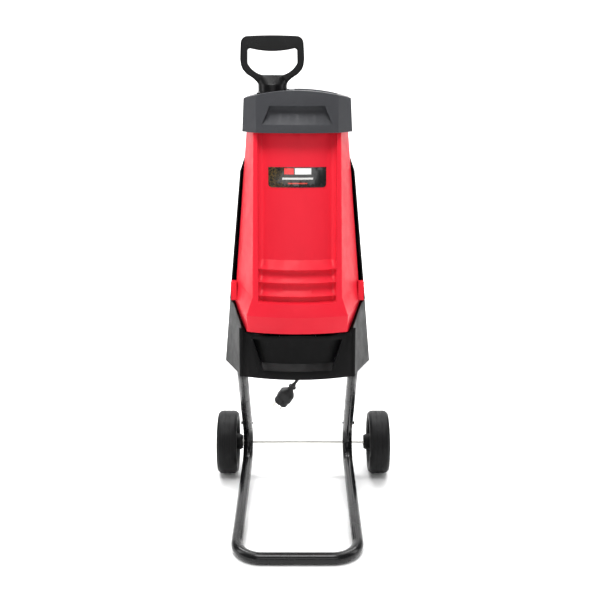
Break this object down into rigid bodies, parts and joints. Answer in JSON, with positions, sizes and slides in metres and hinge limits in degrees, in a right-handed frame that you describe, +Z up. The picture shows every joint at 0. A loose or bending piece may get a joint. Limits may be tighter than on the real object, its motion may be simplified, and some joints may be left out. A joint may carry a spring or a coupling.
{
  "type": "electric garden shredder",
  "caption": "Upright electric wood chipper on a bent tube frame with two wheels, a tilting hopper with hood, a push block, a cutter disc and a short mains lead.",
  "frame": {"origin": "on the floor, under the middle of the machine's outer box; the casing's middle plane is 14 mm to the left of it, because the axle and wheels stand off to the right", "axes": "+Z up, the front of the machine faces -Y, +X is to the right seen from the front"},
  "size_m": [0.434, 0.5343, 1.0775],
  "materials": {
    "frame_enamel": "glossy black enamel on steel tube",
    "zinc": "bright zinc plate",
    "casing_plastic": "finely grained black moulding",
    "cast_alloy": "as cast",
    "bearing_steel": "ground steel",
    "lamination": "stacked laminations",
    "copper_winding": "varnished copper",
    "brass_part": "stamped brass",
    "carbon": "pressed carbon",
    "cord_rubber": "black rubber",
    "pin_nickel": "nickel plated brass",
    "wheel_plastic": "hard black plastic",
    "blade_steel": "ground hardened steel",
    "red_plastic": "semi-gloss red moulding",
    "shell_plastic": "black moulding",
    "hood_plastic": "dark grey grained moulding",
    "label_film": null,
    "handle_plastic": "satin black moulding",
    "green_plastic": "green moulding",
    "red_button_plastic": "red moulding"
  },
  "bodies": {
    "base": {"foot_frame": "frame_enamel", "leg_left": "frame_enamel", "leg_right": "frame_enamel", "axle_rod": "zinc", "axle_retainers": "zinc", "base_screws": "frame_enamel", "hinge_pin": "zinc", "lower_casing": "casing_plastic", "bottom_cover": "casing_plastic", "discharge_duct": "casing_plastic", "gear_plate": "cast_alloy", "chamber_housing": "cast_alloy", "motor_bracket": "cast_alloy", "ball_bearings": "bearing_steel", "motor_stator": "lamination", "field_coils": "copper_winding", "motor_bolts": "zinc", "brush_holders": "brass_part", "carbon_brushes": "carbon", "suppression_capacitor": "casing_plastic", "safety_switch": "casing_plastic", "switch_box": "casing_plastic", "switch_module": "casing_plastic", "overload_breaker": "casing_plastic", "cord_gland": "cord_rubber", "mains_cord": "cord_rubber", "plug_body": "cord_rubber", "plug_pins": "pin_nickel", "lock_stud": "zinc"},
    "left_wheel": {"wheel_left": "wheel_plastic"},
    "right_wheel": {"wheel_right": "wheel_plastic"},
    "cutter": {"cutter_disc": "blade_steel", "cutter_blades": "blade_steel", "blade_screws": "bearing_steel", "spindle": "bearing_steel", "disc_nut": "zinc", "drive_gear": "bearing_steel"},
    "motor_rotor": {"armature": "lamination", "commutator": "copper_winding", "motor_shaft": "bearing_steel", "cooling_fan": "wheel_plastic", "motor_pinion": "bearing_steel"},
    "hopper": {"hopper_front_shell": "red_plastic", "hopper_rear_shell": "shell_plastic", "hood": "hood_plastic", "funnel": "shell_plastic", "feed_chute": "shell_plastic", "chute_brackets": "zinc", "counter_knife": "blade_steel", "label_plate": "label_film", "shell_screws": "zinc"},
    "pusher": {"pusher_handle": "handle_plastic", "pusher_shaft": "handle_plastic"},
    "lock_washer": {"knob_washer": "zinc"},
    "knob": {"lock_knob": "handle_plastic"},
    "start": {"start_button": "green_plastic"},
    "stop": {"stop_button": "red_button_plastic"},
    "reset": {"reset_button": "casing_plastic"},
    "interlock": {"switch_plunger": "green_plastic"}
  },
  "joints": [
    {"name": "hopper_tilt", "type": "hinge", "parent": "base", "child": "hopper", "pos_m": [-0.014, -0.1145, 0.4705], "axis": [1, 0, 0], "range_deg": [0, 60]},
    {"name": "pusher_slide", "type": "slide", "parent": "hopper", "child": "pusher", "axis": [0, 0, 1], "range_m": [0, 0.26]},
    {"name": "left_wheel_spin", "type": "hinge", "parent": "base", "child": "left_wheel", "pos_m": [-0.192, 0.1893, 0.08], "axis": [1, 0, 0], "continuous": true},
    {"name": "right_wheel_spin", "type": "hinge", "parent": "base", "child": "right_wheel", "pos_m": [0.192, 0.1893, 0.08], "axis": [1, 0, 0], "continuous": true},
    {"name": "cutter_spin", "type": "hinge", "parent": "base", "child": "cutter", "pos_m": [-0.014, 0, 0.5], "axis": [0, 0, 1], "continuous": true},
    {"name": "motor_spin", "type": "hinge", "parent": "base", "child": "motor_rotor", "pos_m": [-0.014, 0.04512, 0.44], "axis": [0, 0, 1], "continuous": true},
    {"name": "lock_knob_travel", "type": "slide", "parent": "base", "child": "lock_washer", "axis": [0, 1, 0], "range_m": [0, 0.0038]},
    {"name": "lock_knob_turn", "type": "hinge", "parent": "lock_washer", "child": "knob", "pos_m": [-0.014, 0.125, 0.49], "axis": [0, 1, 0], "range_deg": [0, 1080]},
    {"name": "start_press", "type": "slide", "parent": "base", "child": "start", "axis": [0, -1, 0], "range_m": [0, 0.003], "stiffness_N_per_m": 600},
    {"name": "stop_press", "type": "slide", "parent": "base", "child": "stop", "axis": [0, -1, 0], "range_m": [0, 0.003], "stiffness_N_per_m": 600},
    {"name": "reset_press", "type": "slide", "parent": "base", "child": "reset", "axis": [0, -1, 0], "range_m": [0, 0.002], "stiffness_N_per_m": 500},
    {"name": "interlock_press", "type": "slide", "parent": "base", "child": "interlock", "axis": [0, 0, -1], "range_m": [0, 0.0025], "stiffness_N_per_m": 300}
  ],
  "couplings": [
    {"joint": "motor_spin", "follows": "cutter_spin", "ratio": -4},
    {"joint": "lock_knob_travel", "follows": "lock_knob_turn", "m_per_rad": 0.00019894}
  ]
}
